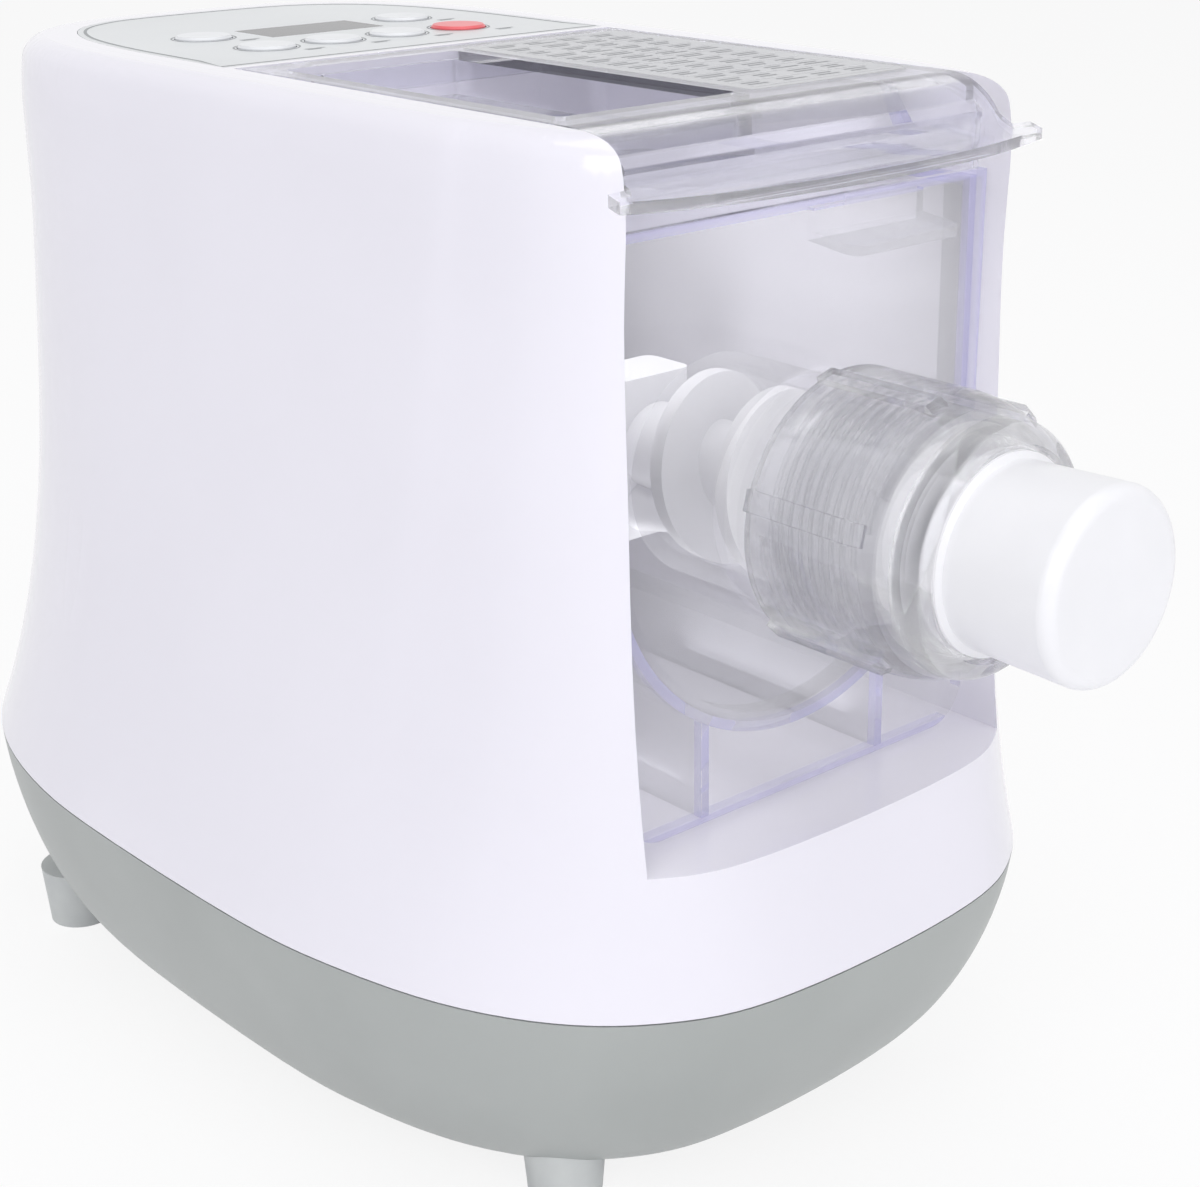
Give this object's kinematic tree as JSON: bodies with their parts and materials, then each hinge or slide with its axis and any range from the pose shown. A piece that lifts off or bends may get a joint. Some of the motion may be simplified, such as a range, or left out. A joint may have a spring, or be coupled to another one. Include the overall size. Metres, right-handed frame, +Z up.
{
  "type": "electric pasta maker",
  "caption": "Kitchen pasta extruder: flared white housing on a grey base, clear bowl, lid and front plate, screwed nozzle nut with cap, and push keys.",
  "frame": {"origin": "on the table, at the centre of the whole machine's outline", "axes": "+Z up, -Y towards the front and the nozzle, +X to the right seen from the front"},
  "size_m": [0.2176, 0.3898, 0.2674],
  "materials": {
    "white_abs": "glossy moulded ABS",
    "grey_abs": "satin moulded ABS",
    "clear_pc": "clear moulded polycarbonate",
    "white_pom": "white moulded acetal",
    "cap_pp": "translucent polypropylene",
    "red_abs": "red moulded key",
    "film": "printed polycarbonate film",
    "dark_window": "smoked display window",
    "grey_film": "grey translucent film",
    "rubber": "moulded rubber",
    "steel": "pressed steel",
    "brass": "sintered brass",
    "copper": "enamelled copper wire",
    "board": "glass-fibre board",
    "black_plastic": "moulded black plastic"
  },
  "bodies": {
    "machine": {"main_housing": "white_abs", "base_tray": "grey_abs", "rubber_feet": "rubber", "base_screws": "steel", "cord_gland": "black_plastic", "control_panel": "film", "display_window": "dark_window", "display_module": "black_plastic", "control_board": "board", "key_switches": "black_plastic", "power_board": "board", "lid_switch": "black_plastic", "gear_plate_front": "steel", "gear_plate_rear": "steel", "gear_plate_spacers": "steel", "gear_plate_screws": "steel", "shaft_bushings": "brass", "idler_shaft": "steel", "motor_stator": "steel", "motor_windings": "copper", "motor_cup_front": "steel", "motor_cup_rear": "steel"},
    "drive": {"output_gear": "white_pom", "output_shaft": "steel"},
    "idler": {"idler_gear": "white_pom"},
    "rotor": {"motor_rotor": "steel", "cooling_fan": "black_plastic"},
    "bowl": {"mixing_bowl": "clear_pc"},
    "auger": {"kneading_auger": "white_pom"},
    "front": {"front_plate": "clear_pc"},
    "die": {"die_disc": "white_pom"},
    "nut": {"nozzle_nut": "clear_pc"},
    "cap": {"nozzle_cap": "cap_pp"},
    "lid": {"lid": "clear_pc", "lid_magnet": "steel", "recipe_plate": "grey_film"},
    "key_row_1_body": {"key_row_1": "white_abs"},
    "key_row_2_body": {"key_row_2": "white_abs"},
    "key_row_3_body": {"key_row_3": "white_abs"},
    "key_stop_body": {"key_stop": "red_abs"},
    "key_side_left_body": {"key_side_left": "white_abs"},
    "key_side_right_body": {"key_side_right": "white_abs"}
  },
  "joints": [
    {"name": "drive_spin", "type": "hinge", "parent": "machine", "child": "drive", "pos_m": [0, 0.0497, 0.177], "axis": [0, 1, 0], "continuous": true},
    {"name": "idler_spin", "type": "hinge", "parent": "machine", "child": "idler", "pos_m": [0, 0.0497, 0.132], "axis": [0, 1, 0], "continuous": true},
    {"name": "rotor_spin", "type": "hinge", "parent": "machine", "child": "rotor", "pos_m": [0, 0.0497, 0.09], "axis": [0, 1, 0], "continuous": true},
    {"name": "bowl_slide", "type": "slide", "parent": "machine", "child": "bowl", "axis": [0, -1, 0], "range_m": [0, 0.15]},
    {"name": "auger_spin", "type": "hinge", "parent": "bowl", "child": "auger", "pos_m": [0, 0.0097, 0.177], "axis": [0, 1, 0], "continuous": true},
    {"name": "front_plate_slide", "type": "slide", "parent": "bowl", "child": "front", "axis": [0, -1, 0], "range_m": [0, 0.07]},
    {"name": "die_travel", "type": "slide", "parent": "front", "child": "die", "axis": [0, -1, 0], "range_m": [0, 0.0301]},
    {"name": "nut_turn", "type": "hinge", "parent": "die", "child": "nut", "pos_m": [0, -0.1403, 0.177], "axis": [0, -1, 0], "range_deg": [0, 900]},
    {"name": "cap_pull", "type": "slide", "parent": "nut", "child": "cap", "axis": [0, -1, 0], "range_m": [0, 0.04]},
    {"name": "lid_hinge", "type": "hinge", "parent": "machine", "child": "lid", "pos_m": [0, 0.0262, 0.262], "axis": [-1, 0, 0], "range_deg": [0, 75]},
    {"name": "key_row_1_press", "type": "slide", "parent": "machine", "child": "key_row_1_body", "axis": [0, 0, -1], "range_m": [0, 0.001], "stiffness_N_per_m": 800, "springref_m": -0.0005},
    {"name": "key_row_2_press", "type": "slide", "parent": "machine", "child": "key_row_2_body", "axis": [0, 0, -1], "range_m": [0, 0.001], "stiffness_N_per_m": 800, "springref_m": -0.0005},
    {"name": "key_row_3_press", "type": "slide", "parent": "machine", "child": "key_row_3_body", "axis": [0, 0, -1], "range_m": [0, 0.001], "stiffness_N_per_m": 800, "springref_m": -0.0005},
    {"name": "key_stop_press", "type": "slide", "parent": "machine", "child": "key_stop_body", "axis": [0, 0, -1], "range_m": [0, 0.001], "stiffness_N_per_m": 800, "springref_m": -0.0005},
    {"name": "key_side_left_press", "type": "slide", "parent": "machine", "child": "key_side_left_body", "axis": [0, 0, -1], "range_m": [0, 0.001], "stiffness_N_per_m": 800, "springref_m": -0.0005},
    {"name": "key_side_right_press", "type": "slide", "parent": "machine", "child": "key_side_right_body", "axis": [0, 0, -1], "range_m": [0, 0.001], "stiffness_N_per_m": 800, "springref_m": -0.0005}
  ],
  "couplings": [
    {"joint": "idler_spin", "follows": "drive_spin", "ratio": -3.2857},
    {"joint": "rotor_spin", "follows": "drive_spin", "ratio": 12.048},
    {"joint": "auger_spin", "follows": "drive_spin", "ratio": 1},
    {"joint": "die_travel", "follows": "nut_turn", "m_per_rad": 0.0019099}
  ]
}
